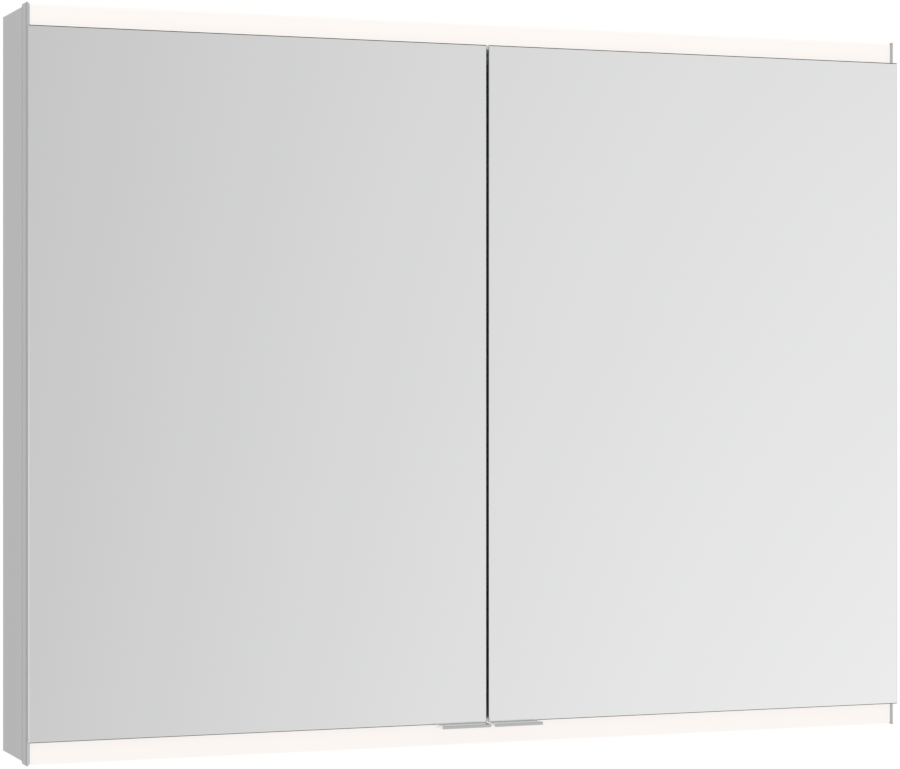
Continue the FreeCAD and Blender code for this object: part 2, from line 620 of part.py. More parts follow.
TERMINAL = ("-20", "24")
terminal_ways = [block(f"terminal_way_{n}", (f"-15 + {n} * 13", f"-7 + {n} * 13"), ("-55", "-47"),
                       (f"{DECK_TOP} + 3", f"{DECK_TOP} + 11")) for n in range(3)]
terminal_body = block("terminal_body", TERMINAL, ("-54", "-36"), (DECK_TOP, f"{DECK_TOP} + 15"))
keep(carve("terminal_block", terminal_body, terminal_ways), "terminal_block")


def lead(name, radius, route):
    """A lead along straight runs, each from point to point, with a ball joint at each turn."""
    pieces = []
    for number, (start, end) in enumerate(zip(route, route[1:])):
        axis = next(letter for letter, a, b in zip("xyz", start, end) if a != b)
        place = "xyz".index(axis)
        centre = [value for n, value in enumerate(start) if n != place]
        low, high = sorted((start[place], end[place]))
        pieces.append(rod(f"{name}_run_{number}", axis, radius, (str(low), str(high)), centre))
    for number, point in enumerate(route[1:-1]):
        ball = doc.addObject("Part::Sphere", f"{name}_turn_{number}")
        bind(ball, "Radius", radius)
        for letter, value in zip("xyz", point):
            bind(ball, "Placement.Base." + letter, value)
        pieces.append(ball)
    return join(name, pieces) if len(pieces) > 1 else pieces[0]


LEAD_LEVEL = 333
keep(together("supply_leads", [
    lead("mains_lead", "1.8", ((-20, -45, LEAD_LEVEL), (-90, -45, LEAD_LEVEL))),
    lead("strip_lead", "1.8", ((-130, -76, LEAD_LEVEL + 4), (-130, -84, LEAD_LEVEL + 4),
                               (-180, -84, LEAD_LEVEL + 4), (-180, -92.7, LEAD_LEVEL + 4)))]),
    "supply_leads")

flat_x = ("1.2 - half_wide + panel_inset + sheet - 1", "1.8 - half_wide + panel_inset + sheet")
lower_lead = join("lower_lead_blank", [
    block("lower_lead_upright", flat_x, ("-46", "-40"), ("-335", "335")),
    block("lower_lead_top", (flat_x[0], SUPPLY[0]), ("-46", "-40"), ("333.4", "335")),
    block("lower_lead_bottom", (flat_x[0], "-430"), ("-46", "-40"), ("-335", "-333.4")),
    block("lower_lead_front", ("-436", "-430"), ("-channel_back", "-40"), ("-335", "-333.4"))])
keep(lower_lead, "lower_light_lead")

SOCKET_PLACES = ("50", "102")
housing_outer = block("housing_outer", ("socket_left", "socket_right"),
                      ("-socket_front", "-rear_space - sheet - back_glass - 0.5"),
                      ("socket_low", "deck_level"))
housing_inner = block("housing_inner", ("socket_left + socket_wall", "socket_right - socket_wall"),
                      ("socket_wall - socket_front",
                       "-rear_space - sheet - back_glass - 0.5 - socket_wall"),
                      ("socket_low + socket_wall", "deck_level + 1"))
housing_holes = [rod(f"housing_hole_{n}", "y", "socket_radius + 1.6",
                     ("-socket_front - 1", "4 - socket_front"), (x, "socket_z"))
                 for n, x in enumerate(SOCKET_PLACES)]
housing_holes.append(block("housing_window", ("switch_x - 10", "switch_x + 10"),
                           ("-socket_front - 1", "4 - socket_front"), ("socket_z - 15", "socket_z + 15")))
keep(carve("socket_housing", housing_outer, [housing_inner] + housing_holes), "socket_housing")


def socket_insert(number, x):
    """Cup with a rim in front, a round recess and two contact holes in its floor."""
    cup = rod(f"socket_cup_{number}", "y", "socket_radius + 1.5",
              ("-socket_front", "socket_deep + 3 - socket_front"), (x, "socket_z"))
    rim = rod(f"socket_rim_{number}", "y", "socket_radius + 3", ("-socket_front - 1.2", "-socket_front"),
              (x, "socket_z"))
    recess = rod(f"socket_recess_{number}", "y", "socket_radius",
                 ("-socket_front - 2", "socket_deep - socket_front"), (x, "socket_z"))
    contacts = [rod(f"socket_contact_{number}_{n}", "y", "2.5",
                    ("-socket_front", "socket_deep + 4 - socket_front"), (f"{x} + {offset}", "socket_z"))
                for n, offset in enumerate((-9.5, 9.5))]
    return carve(f"socket_{number}", join(f"socket_blank_{number}", [cup, rim]), [recess] + contacts)


keep(together("socket_inserts", [socket_insert(n, x) for n, x in enumerate(SOCKET_PLACES)]),
     "socket_inserts")

PIVOT_Y = "4 - socket_front"
switch_outer = join("switch_outer", [
    block("switch_sleeve", ("switch_x - 10", "switch_x + 10"), ("-socket_front", "10 - socket_front"),
          ("socket_z - 15", "socket_z + 15")),
    block("switch_rim", ("switch_x - 11", "switch_x + 11"), ("-socket_front - 1", "-socket_front"),
          ("socket_z - 16", "socket_z + 16"))])
switch_window = block("switch_window", ("switch_x - 7.5", "switch_x + 7.5"),
                      ("-socket_front - 2", "11 - socket_front"), ("socket_z - 12.6", "socket_z + 12.6"))
pin_bore = rod("switch_pin_bore", "x", "1.5", ("switch_x - 9", "switch_x + 9"), (PIVOT_Y, "socket_z"))
keep(carve("switch_frame", switch_outer, [switch_window, pin_bore]), "switch_frame")
keep(rod("rocker_pin", "x", "1.5", ("switch_x - 9", "switch_x + 9"), (PIVOT_Y, "socket_z")), "rocker_pin")

# The rocker is drawn square to its pin, and then tilted to its resting side.
rocker_outline = (("-5.5", "-rocker_half"), ("-4.6", "0"), ("-5.5", "rocker_half"),
                  ("1", "rocker_half"), ("3", "0"), ("1", "-rocker_half"))
rocker_body = section("rocker_block", "YZ_Plane", rocker_outline, "14.4")
rocker = carve("light_rocker", rocker_body,
               [rod("rocker_bore", "x", "1.55", ("-10", "10"), ("0", "0"))])
rocker.Placement = FreeCAD.Placement(FreeCAD.Vector(), FreeCAD.Rotation(FreeCAD.Vector(1, 0, 0), 1))
bind(rocker, "Placement.Base.x", "switch_x")
bind(rocker, "Placement.Base.y", PIVOT_Y)
bind(rocker, "Placement.Base.z", "socket_z")
bind(rocker, "Placement.Rotation.Angle", "-rocker_tilt")
keep(rocker, "light_rocker")


# Build, check and write.

doc.recompute()
for thing in doc.Objects:
    faults = {"Invalid", "Error"} & set(thing.State)
    if faults:
        raise RuntimeError(f"{thing.Label}: {sorted(faults)}")
os.makedirs("parts", exist_ok=True)
for old in os.listdir("parts"):
    os.remove(os.path.join("parts", old))
for node in nodes:
    if node.Shape.isNull() or not node.Shape.isValid():
        raise RuntimeError(f"{node.Label}: bad shape")
    node.Shape.exportStep(f"parts/{node.Label}.step")
    print(f"{node.Label:28} solids {len(node.Shape.Solids):3}  volume {node.Shape.Volume:12.1f}")
print(len(nodes), "nodes")
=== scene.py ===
# %% [markdown]
# # A lit mirror cabinet, finished piece by piece
# The cabinet hangs on a bathroom wall. Two mirror doors cover nearly the whole front, and opal
# light strips glow above and below them. The sizes come from the imported design, so the first
# step loads it.

# %% Load the fixed frame
import bmesh
import bpy
import json
import math
from mathutils import Matrix, Vector


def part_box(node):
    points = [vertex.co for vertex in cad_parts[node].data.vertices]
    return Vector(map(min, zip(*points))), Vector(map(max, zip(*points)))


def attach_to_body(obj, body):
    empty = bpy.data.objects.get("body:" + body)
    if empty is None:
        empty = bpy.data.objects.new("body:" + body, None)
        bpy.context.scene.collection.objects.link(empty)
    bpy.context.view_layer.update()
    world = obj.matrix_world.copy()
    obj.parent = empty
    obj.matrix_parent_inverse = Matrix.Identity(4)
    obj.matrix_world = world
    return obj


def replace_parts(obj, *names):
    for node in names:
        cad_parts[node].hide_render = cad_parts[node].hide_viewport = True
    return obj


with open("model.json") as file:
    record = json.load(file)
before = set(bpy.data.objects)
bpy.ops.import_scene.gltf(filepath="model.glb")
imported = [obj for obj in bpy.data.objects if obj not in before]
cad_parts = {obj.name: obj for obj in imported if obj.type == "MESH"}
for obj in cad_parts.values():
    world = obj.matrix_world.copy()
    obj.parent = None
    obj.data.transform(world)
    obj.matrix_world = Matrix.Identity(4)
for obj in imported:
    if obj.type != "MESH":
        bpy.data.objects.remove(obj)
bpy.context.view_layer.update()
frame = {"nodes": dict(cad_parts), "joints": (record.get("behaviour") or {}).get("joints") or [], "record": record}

MM = 0.001

# %% [markdown]
# ## Camera
# The cabinet is seen from its left at about mid height with a long lens, so its uprights stay
# parallel. A level camera does that: it is turned about the vertical only, and a small shift,
# as on a view camera, brings the middle of the picture back onto the cabinet.

# %% Camera
CAMERA_PLACE = Vector((-1.028, -2.7282, 0.0056))
CAMERA_TURN = math.radians(21.15)
view = bpy.data.cameras.new("view")
view.sensor_width = 36
view.lens = 115.8
view.shift_x = -0.022
view.shift_y = -0.0073
camera = bpy.data.objects.new("view", view)
camera.location = CAMERA_PLACE
camera.rotation_euler = (math.pi / 2, 0, -CAMERA_TURN)
bpy.context.scene.collection.objects.link(camera)
bpy.context.scene.camera = camera
print("camera stands", round(-CAMERA_PLACE.y, 2), "m in front of the wall")

# %% [markdown]
# ## Shader maths as plain expressions
# A node tree is easier to read as a formula. The first class wraps one socket and gives it
# Python's operators, and each use of an operator adds one Math node. The second class holds a
# material: what is the same all over goes straight onto the shader, and what varies is fed in.

# %% Wire: one socket with operators
class Wire:
    """The output of a node, for use in Python expressions."""

    def __init__(self, finish, socket):
        self.finish = finish
        self.socket = socket

    def __add__(self, other):
        return self.finish.maths("ADD", self, other)

    def __sub__(self, other):
        return self.finish.maths("SUBTRACT", self, other)

    def __rsub__(self, other):
        return self.finish.maths("SUBTRACT", other, self)

    def __mul__(self, other):
        return self.finish.maths("MULTIPLY", self, other)

    def __truediv__(self, other):
        return self.finish.maths("DIVIDE", self, other)

    def __abs__(self):
        return self.finish.maths("ABSOLUTE", self)

    __radd__ = __add__
    __rmul__ = __mul__


print("a wire understands + - * / and abs")

# %% Finish: a material under construction
class Finish:
    """A tree of shader nodes, and short ways to add to it."""

    def __init__(self, name, **constants):
        self.material = bpy.data.materials.new(name)
        self.material.use_nodes = True
        self.tree = self.material.node_tree
        self.shader = self.tree.nodes["Principled BSDF"]
        for socket, value in constants.items():
            self.shader.inputs[socket.replace("_", " ")].default_value = value

    def node(self, kind, settings=None, values=None, output=0):
        """Add a node: settings first, then the values or links of its sockets."""
        made = self.tree.nodes.new(kind)
        for name, setting in (settings or {}).items():
            setattr(made, name, setting)
        for socket, value in (values or {}).items():
            if isinstance(value, Wire):
                self.tree.links.new(value.socket, made.inputs[socket])
            else:
                made.inputs[socket].default_value = value
        return Wire(self, made.outputs[output])

    def maths(self, operation, *values):
        return self.node("ShaderNodeMath", {"operation": operation}, dict(enumerate(values)))

    def place(self, stretch=(1, 1, 1)):
        """The point on the piece, in metres, with each axis multiplied by stretch."""
        point = self.node("ShaderNodeTexCoord", output="Object")
        return self.node("ShaderNodeMapping", None, {"Vector": point, "Scale": stretch})

    def axes(self):
        """The three coordinates of the point, in metres."""
        return self.split(self.node("ShaderNodeTexCoord", output="Object"))

    def split(self, vector):
        """The three parts of a vector."""
        parts = self.node("ShaderNodeSeparateXYZ", None, {0: vector})
        return [Wire(self, socket) for socket in parts.socket.node.outputs]

    def noise(self, scale, detail=2.0, stretch=(1, 1, 1)):
        values = {"Vector": self.place(stretch), "Scale": scale, "Detail": detail}
        return self.node("ShaderNodeTexNoise", None, values)

    def step(self, wire, low, high, to_low=0.0, to_high=1.0):
        """A smooth step from to_low to to_high as wire goes from low to high."""
        values = {0: wire, 1: low, 2: high, 3: to_low, 4: to_high}
        return self.node("ShaderNodeMapRange", {"interpolation_type": "SMOOTHSTEP"}, values)

    def blend(self, factor, first, second):
        """Mix two colours, which are a Mix node's inputs 6 and 7 and its output 2."""
        return self.node("ShaderNodeMix", {"data_type": "RGBA"}, {0: factor, 6: first, 7: second}, 2)

    def feed(self, socket, wire):
        self.tree.links.new(wire.socket, self.shader.inputs[socket])

    def bump(self, height, depth):
        """Turn a height pattern into fine relief, depth metres deep."""
        values = {"Height": height, "Distance": depth, "Strength": 1.0}
        self.feed("Normal", self.node("ShaderNodeBump", None, values))


def colour(red, green, blue):
    return (red, green, blue, 1.0)


def grey(level):
    return colour(level, level, level)


print("a finish can be started with Finish(name)")

# %% [markdown]
# ## Aluminium
# The casing and the frame are extruded and folded aluminium, anodised to a satin grey. The die
# and the brushing before the bath leave very fine lines along the length of each piece. A noise
# pattern stretched ninetyfold along one axis gives those lines, and it moves the tone, the
# roughness and the relief together, as one cause does on the real surface.

# %% Anodised aluminium, with lines along one axis
STRETCH = 90
LINES = {"x": (1, STRETCH, STRETCH), "z": (STRETCH, STRETCH, 1)}


def anodised(name, tone, along, roughness=0.34, depth=6e-6, darker=None, dark_part=0.84):
    """Satin metal. darker, if given, works out where shade is painted onto the metal: 0 for none, 1 for full
    painted shade.
    """
    metal = Finish(name, Metallic=1.0)
    lines = metal.noise(24, 3, LINES[along])
    cloud = metal.noise(7, 2)
    metal.feed("Roughness", roughness + (lines - 0.5) * 0.16 + (cloud - 0.5) * 0.05)
    base = metal.blend(lines * 0.6 + cloud * 0.4, grey(tone * 0.955), grey(tone * 1.045))
    # Painted shade: where darker says shade falls, the tone drops to dark_part of itself.
    if darker:
        base = metal.blend(darker(metal), base, grey(tone * dark_part))
    metal.feed("Base Color", base)
    metal.bump(lines, depth)
    return metal.material


PANEL_FRONT = -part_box("side_panel_left")[0].y
FRAME_FRONT = -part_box("frame_profile_left")[0].y
HANDLE_FRONT = -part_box("handle_left")[0].y
OPAL_GAP = 0.2 * MM
FRAME_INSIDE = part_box("opal_cover_top")[1].x + OPAL_GAP


def panel_end_shade(metal):
    """Painted shade on the last few millimetres of the side panel, next to the frame, where the two meet."""
    _, y, _ = metal.axes()
    return metal.step(abs(y), PANEL_FRONT - 7 * MM, PANEL_FRONT - 1 * MM)


def frame_shade(metal):
    """Painted shade on the frame: beside the panel, round its front groove, and inside its front wall."""
    x, y, _ = metal.axes()
    beside_panel = metal.step(abs(y), PANEL_FRONT + 3 * MM, PANEL_FRONT + 8 * MM, 0.45, 0.0)
    round_groove = metal.step(abs(y), FRAME_FRONT - 8 * MM, FRAME_FRONT - 5 * MM, 0.0, 0.5)
    behind_face = metal.step(abs(y), FRAME_FRONT - 1.2 * MM, FRAME_FRONT - 0.1 * MM, 1.0, 0.0)
    inside = metal.step(abs(x), FRAME_INSIDE + 0.05 * MM, FRAME_INSIDE + 0.3 * MM, 1.0, 0.0)
    return beside_panel + round_groove * behind_face + inside


def handle_front_shade(metal):
    """Painted shade along the front edge of the handles, darker than their face."""
    _, y, _ = metal.axes()
    return metal.step(abs(y), HANDLE_FRONT - 0.9 * MM, HANDLE_FRONT - 0.4 * MM)


# The casing, the frame and the handles get painted shade where their shade functions below say.
casing_aluminium = anodised("casing_aluminium", 0.72, "z", darker=panel_end_shade)
cover_aluminium = anodised("cover_aluminium", 0.72, "x")
frame_aluminium = anodised("frame_aluminium", 0.70, "z", 0.3, 4e-6, frame_shade, 0.68)
channel_aluminium = anodised("channel_aluminium", 0.78, "x", 0.42, 8e-6)
handle_aluminium = anodised("handle_aluminium", 0.88, "x", 0.18, 3e-6, handle_front_shade, 0.68)
# The rear aluminium is lighter than the casing: painted light, to make up for the dimmer light behind the cabinet.
rear_aluminium = anodised("rear_aluminium", 0.80, "x", 0.38, 6e-6)
print("six aluminium finishes")

# %% [markdown]
# ## Mirror
# A mirror is clear glass silvered behind, and all that it shows is its surroundings. What makes
# one look real is small: the faint film of a wiped surface, which only just softens the
# reflection, and a ground edge that catches light differently from the face. The face, its
# polished bevel and the edge are three materials, because a real pane has three surfaces there.

# %% Silvered face, polished bevel and ground edge
DOOR_TONE = 0.93


def silvered(name, tone):
    mirror = Finish(name, Metallic=1.0)
    wiped = mirror.noise(3.1, 4, (1, 1, 2.4))
    film = mirror.step(wiped, 0.45, 0.8, 0.0, 0.035)
    mirror.feed("Roughness", film)
    clean = colour(tone, tone * 1.004, tone * 1.002)
    filmed = colour(tone * 0.985, tone * 0.99, tone * 0.988)
    mirror.feed("Base Color", mirror.blend(wiped, clean, filmed))
    return mirror.material


def ground_edge(name):
    edge = Finish(name, Metallic=0.85)
    grain = edge.noise(900, 2)
    edge.feed("Roughness", 0.26 + grain * 0.18)
    edge.feed("Base Color", edge.blend(grain, colour(0.50, 0.535, 0.52), colour(0.59, 0.625, 0.61)))
    edge.bump(grain, 6e-6)
    return edge.material


def polished_bevel(name):
    bevel = Finish(name, Metallic=1.0)
    ripple = bevel.noise(260, 2)
    bevel.feed("Roughness", 0.05 + ripple * 0.05)
    bevel.feed("Base Color", bevel.blend(ripple, colour(0.76, 0.78, 0.77), colour(0.82, 0.84, 0.83)))
    return bevel.material


door_silver = silvered("door_silver", DOOR_TONE)
back_silver = silvered("back_silver", 0.90)
mirror_bevel = polished_bevel("mirror_bevel")
mirror_edge = ground_edge("mirror_edge")
print("mirror faces, their polished bevel and their ground edge")

# %% [markdown]
# ## Opal light covers
# The covers are opal acrylic, lit evenly from a row of chips behind. The glow is strongest in
# front of the chips and falls a little towards the rounded outer edge, and the acrylic is a warm
# white. A weak emission that varies with height gives that, over a satin white base.

# %% Opal acrylic
chip_low, chip_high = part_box("led_board_top")
opal_low, opal_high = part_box("opal_cover_top")
chip_height = (chip_low.z + chip_high.z) / 2


def opal():
    acrylic = Finish("opal_acrylic", Base_Color=colour(0.17, 0.165, 0.16), Specular_IOR_Level=0.2,
                     Emission_Strength=0.815)
    _, _, z = acrylic.axes()
    off_line = abs(abs(z) - chip_height)
    glow = acrylic.step(off_line, 0.0, (opal_high.z - opal_low.z) * 0.75, 1.0, 0.93)
    haze = acrylic.noise(60, 2)
    acrylic.feed("Emission Color", acrylic.blend(glow, colour(0.80, 0.74, 0.68), colour(1.0, 0.948, 0.915)))
    acrylic.feed("Roughness", 0.38 + haze * 0.1)
    acrylic.bump(haze, 1e-5)
    return acrylic.material


opal_acrylic = opal()
print("opal acrylic glows round", round(chip_height / MM), "mm above and below the middle")

# %% [markdown]
# ## Lacquer, glass and plated metal
# The inside is lacquered light grey, with the slight orange peel of a powder coat. The shelves
# are clear float glass with a faint green in it, so their colour is a little less than white.
# The hinges are nickel-plated castings, a little warmer and smoother than the aluminium.

# %% Powder-coated boards
def lacquer(name, base, grain=420, depth=1.5e-5, roughness=0.42):
    coat = Finish(name, Specular_IOR_Level=0.4)
    peel = coat.noise(grain, 2)
    shade = coat.noise(9, 2)
    coat.feed("Base Color", coat.blend(shade, colour(*(part * 0.965 for part in base)), colour(*base)))
    coat.feed("Roughness", roughness + (peel - 0.5) * 0.12)
    coat.bump(peel, depth)
    return coat.material


inner_lacquer = lacquer("inner_lacquer", (0.66, 0.67, 0.68))
print(inner_lacquer.name, "has", len(inner_lacquer.node_tree.nodes), "nodes")

# %% Clear glass
CLEAR_ROUGHNESS = 0.008


def clear_glass():
    glass = Finish("shelf_clear", Transmission_Weight=1.0, IOR=1.5)
    grain = glass.noise(700, 2)
    glass.feed("Base Color", glass.blend(grain, colour(0.945, 0.98, 0.965), colour(0.955, 0.985, 0.972)))
    glass.feed("Roughness", CLEAR_ROUGHNESS + grain * CLEAR_ROUGHNESS)
    return glass.material


shelf_clear = clear_glass()
print(shelf_clear.name, "has", len(shelf_clear.node_tree.nodes), "nodes")

# %% Nickel plate, zinc sheet and ground steel
def nickel():
    plate = Finish("hinge_nickel", Metallic=1.0)
    peel = plate.noise(300, 3)
    wear = plate.noise(60, 3)
    plate.feed("Base Color", plate.blend(wear, colour(0.60, 0.585, 0.56), colour(0.70, 0.69, 0.67)))
    plate.feed("Roughness", 0.2 + wear * 0.14)
    plate.bump(peel, 6e-6)
    return plate.material


def zinc():
    sheet = Finish("zinc_sheet", Metallic=1.0)
    spangle = sheet.node("ShaderNodeTexVoronoi", None, {"Vector": sheet.place(), "Scale": 95.0}, "Color")
    shade = sheet.node("ShaderNodeRGBToBW", None, {0: spangle})
    fine = sheet.noise(700, 2)
    sheet.feed("Base Color", sheet.blend(shade, colour(0.50, 0.52, 0.54), colour(0.64, 0.66, 0.67)))
    sheet.feed("Roughness", 0.34 + shade * 0.2 + (fine - 0.5) * 0.08)
    sheet.bump(fine, 5e-6)
    return sheet.material


hinge_nickel = nickel()
zinc_sheet = zinc()
pin_steel = anodised("pin_steel", 0.55, "z", 0.22, 3e-6)
print("nickel, zinc and steel")

# %% [markdown]
# ## Plastics and rubber
# Mouldings carry the fine spark texture of their tool, so they are made like the lacquer but
# with a finer grain. Rubber is darker and duller and shows a little dust. The door stops are
# made of a clear gel, which is only partly see-through.

# %% Mouldings, rubber and clear door stops
def moulded(name, base, roughness, grain=650):
    return lacquer(name, base, grain, 1.2e-5, roughness)


def rubber(name, base):
    skin = Finish(name, Specular_IOR_Level=0.3)
    dust = skin.noise(140, 4)
    dusty = colour(*(0.03 + part for part in base))
    skin.feed("Base Color", skin.blend(skin.step(dust, 0.5, 0.75), colour(*base), dusty))
    skin.feed("Roughness", 0.62 + dust * 0.2)
    skin.bump(skin.noise(1100, 2), 1.5e-5)
    return skin.material


def clear_bumper_finish():
    gel = Finish("clear_bumper", Transmission_Weight=0.4, IOR=1.48)
    cloud = gel.noise(500, 2)
    gel.feed("Base Color", gel.blend(cloud, colour(0.86, 0.87, 0.88), colour(0.93, 0.94, 0.95)))
    gel.feed("Roughness", 0.1 + cloud * 0.12)
    return gel.material


dot_white = moulded("dot_white", (0.86, 0.86, 0.84), 0.3)
print("moulded plastics, rubber and clear gel")

# %% [markdown]
# ## Light board and chips
# The board is white lacquer over copper, and a track shows as a slightly raised line beside the
# chips. Each chip has a yellow phosphor that glows a little in the light of its own die. Both
# are plain blends, because the opal covers hide them from the front.

# %% Light board and chips
TRACK_FROM_CHIPS = 3.4 * MM


def light_board_finish():
    board = Finish("light_board", Specular_IOR_Level=0.5)
    _, _, z = board.axes()
    off_track = abs(abs(z) - chip_height - TRACK_FROM_CHIPS)
    track = board.step(off_track, 0.5 * MM, 0.7 * MM, 1.0, 0.0)
    board.feed("Base Color", board.blend(track, colour(0.84, 0.84, 0.81), colour(0.66, 0.64, 0.55)))
    board.feed("Roughness", 0.3 + board.noise(500) * 0.1)
    board.bump(track, 3e-5)
    return board.material


def light_chip_finish():
    chip = Finish("light_chip", Emission_Strength=1.2)
    grain = chip.noise(1500, 2)
    chip.feed("Base Color", chip.blend(grain, colour(0.86, 0.62, 0.14), colour(0.95, 0.74, 0.25)))
    chip.feed("Emission Color", chip.blend(grain, colour(1.0, 0.86, 0.62), colour(1.0, 0.93, 0.78)))
    chip.feed("Roughness", 0.3 + grain * 0.1)
    return chip.material


light_board = light_board_finish()
light_chip = light_chip_finish()
print(light_board.name, "and", light_chip.name)

# %% [markdown]
# ## A finish for every design piece
# The design names a material slot for each of its pieces, such as one for all mouldings of the
# sockets. A table from slot to finish dresses the whole cabinet at once. Only the two covers
# differ: they share the casing's slot, but their brushed lines run from left to right.

# %% Finishes by slot
SLOT_OF = {part["node"]: part["material_slot"] for part in frame["record"]["subparts"]}
FINISH_OF = {
    "casing_aluminium": casing_aluminium,
    "frame_aluminium": frame_aluminium,
    "channel_aluminium": channel_aluminium,
    "handle_aluminium": handle_aluminium,
    "rear_aluminium": rear_aluminium,
    "zinc_sheet": zinc_sheet,
    "inner_lacquer": inner_lacquer,
    "door_mirror": door_silver,
    "back_mirror": back_silver,
    "shelf_glass": shelf_clear,
    "opal_acrylic": opal_acrylic,
    "light_board": light_board,
    "light_chip": light_chip,
    "hinge_nickel": hinge_nickel,
    "pin_steel": pin_steel,
    "pad_rubber": rubber("pad_rubber", (0.035, 0.035, 0.036)),
    "seal_rubber": rubber("seal_rubber", (0.012, 0.012, 0.013)),
    "clear_bumper": clear_bumper_finish(),
    "supply_plastic": moulded("supply_plastic", (0.78, 0.78, 0.76), 0.46),
    "terminal_plastic": moulded("terminal_plastic", (0.70, 0.71, 0.68), 0.5),
    "lead_sheath": moulded("lead_sheath", (0.74, 0.74, 0.72), 0.4, 300),
    "socket_plastic": moulded("socket_plastic", (0.60, 0.61, 0.62), 0.34),
    "rocker_plastic": moulded("rocker_plastic", (0.52, 0.53, 0.54), 0.3)}
for name, node in frame["nodes"].items():
    node.data.materials.clear()
    node.data.materials.append(FINISH_OF[SLOT_OF[name]])
for name in ("top_cover", "bottom_cover"):
    frame["nodes"][name].data.materials[0] = cover_aluminium
print(len(FINISH_OF), "finishes on", len(frame["nodes"]), "pieces")

# %% [markdown]
# ## Modelling helpers
# Modelling by hand is a loop: add a primitive, open it, select some faces or edges, and apply an
# operator. The same loop works in code, if the selection is made by place and direction rather
# than by mouse. These helpers do only that, so each later cell reads like the steps of a
# modelling session.

# %% Selecting by place
FLAT = 0.99
SAME_PLACE = 0.05 * MM


def clear():
    """Leave edit mode and deselect everything."""
    if bpy.context.object and bpy.context.object.mode != "OBJECT":
        bpy.ops.object.mode_set(mode="OBJECT")
    bpy.ops.object.select_all(action="DESELECT")


def edit(piece):
    """Open one piece in edit mode."""
    clear()
    piece.select_set(True)
    bpy.context.view_layer.objects.active = piece
    bpy.ops.object.mode_set(mode="EDIT")


def pick(kind, chosen):
    """Select the faces ("FACE") or edges ("EDGE") of the open piece that chosen accepts."""
    bpy.ops.mesh.select_mode(type=kind)
    bpy.ops.mesh.select_all(action="DESELECT")
    shape = bmesh.from_edit_mesh(bpy.context.object.data)
    found = [item for item in (shape.faces if kind == "FACE" else shape.edges) if chosen(item)]
    for item in found:
        item.select_set(True)
    bmesh.update_edit_mesh(bpy.context.object.data)
    if not found:
        raise ValueError("nothing to select on " + bpy.context.object.name)


def looks(face, axis, way=1):
    """True for a face that looks along x, y or z, or against it if way is -1."""
    return getattr(face.normal, axis) * way > FLAT


def runs(edge, axis):
    """True for an edge along x, y or z."""
    span = edge.verts[1].co - edge.verts[0].co
    return abs(getattr(span, axis)) > 0.999 * span.length


def near(edge, **place):
    """True for an edge whose middle has the given coordinates."""
    centre = (edge.verts[0].co + edge.verts[1].co) / 2
    return all(abs(getattr(centre, axis) - value) < SAME_PLACE for axis, value in place.items())


print("faces and edges can be picked by place")

# %% Primitives at their size and place
def own(name):
    """Name the new primitive, move its place and size into its mesh, and open it."""
    piece = bpy.context.object
    piece.name = piece.data.name = name
    bpy.ops.object.transform_apply(location=True, rotation=True, scale=True)
    edit(piece)
    return piece


def block(name, low, high):
    """A cube stretched between two corners."""
    low, high = Vector(low), Vector(high)
    clear()
    bpy.ops.mesh.primitive_cube_add(size=1, location=(low + high) / 2, scale=high - low)
    return own(name)


LAY_ALONG = {"x": (0, math.pi / 2, 0), "y": (-math.pi / 2, 0, 0)}


def rod(name, axis, radius, span, centre, sides):
    """A cylinder along x or y, from one end of span to the other."""
    place = list(centre)
    place.insert("xyz".index(axis), (span[0] + span[1]) / 2)
    clear()
    bpy.ops.mesh.primitive_cylinder_add(vertices=sides, radius=radius, depth=span[1] - span[0],
                                        location=place, rotation=LAY_ALONG[axis])
    return own(name)


def cut_across(axis, level):
    """Run a loop of edges round the open piece where a plane across an axis meets it."""
    facing = Vector([float(letter == axis) for letter in "xyz"])
    bpy.ops.mesh.select_all(action="SELECT")
    bpy.ops.mesh.bisect(plane_co=facing * level, plane_no=facing)


def pull(*step):
    """Extrude the selected faces by a step in x, y and z."""
    bpy.ops.mesh.extrude_region_move(TRANSFORM_OT_translate={"value": step})


print("blocks and rods can be added, cut across and pulled")

# %% Finishing a piece and giving it its place
BODY_OF = {node: body for body, members in frame["record"]["behaviour"]["bodies"].items()
           for node in members}


def apply_all(piece):
    """Apply the modifiers of a piece in their order."""
    clear()
    piece.select_set(True)
    bpy.context.view_layer.objects.active = piece
    for modifier in list(piece.modifiers):
        bpy.ops.object.modifier_apply(modifier=modifier.name)


def ease(piece, width, segments=2):
    """Break every sharp edge with a small round, and keep the flat faces flat in the light."""
    apply_all(piece)
    bevel = piece.modifiers.new("ease", "BEVEL")
    bevel.width = width
    bevel.segments = segments
    bevel.use_clamp_overlap = True
    bevel.limit_method = "ANGLE"
    bevel.angle_limit = math.radians(30)
    apply_all(piece)
    bpy.ops.object.shade_smooth_by_angle(angle=math.radians(50))
    weighted = piece.modifiers.new("flat", "WEIGHTED_NORMAL")
    weighted.keep_sharp = True
    apply_all(piece)
    return piece


def copy_of(piece, name, *moves):
    """A copy with its own mesh, moved by matrices."""
    twin = piece.copy()
    twin.name = name
    twin.data = piece.data.copy()
    twin.data.name = name
    for move in moves:
        twin.data.transform(move)
    bpy.context.scene.collection.objects.link(twin)
    return twin


def attach(piece, body, slot, *finishes):
    """Let a piece ride on a body, and give it its finishes."""
    clear()
    if finishes:
        piece.data.materials.clear()
        for finish in finishes:
            piece.data.materials.append(finish)
    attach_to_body(piece, body)
    return piece


def settle(piece, node, *finishes):
    """Let a piece stand for a design piece, on the same body, with the given finishes or else the finish of its
    slot.
    """
    attach(piece, BODY_OF[node], SLOT_OF[node], *(finishes or [FINISH_OF[SLOT_OF[node]]]))
    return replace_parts(piece, node)


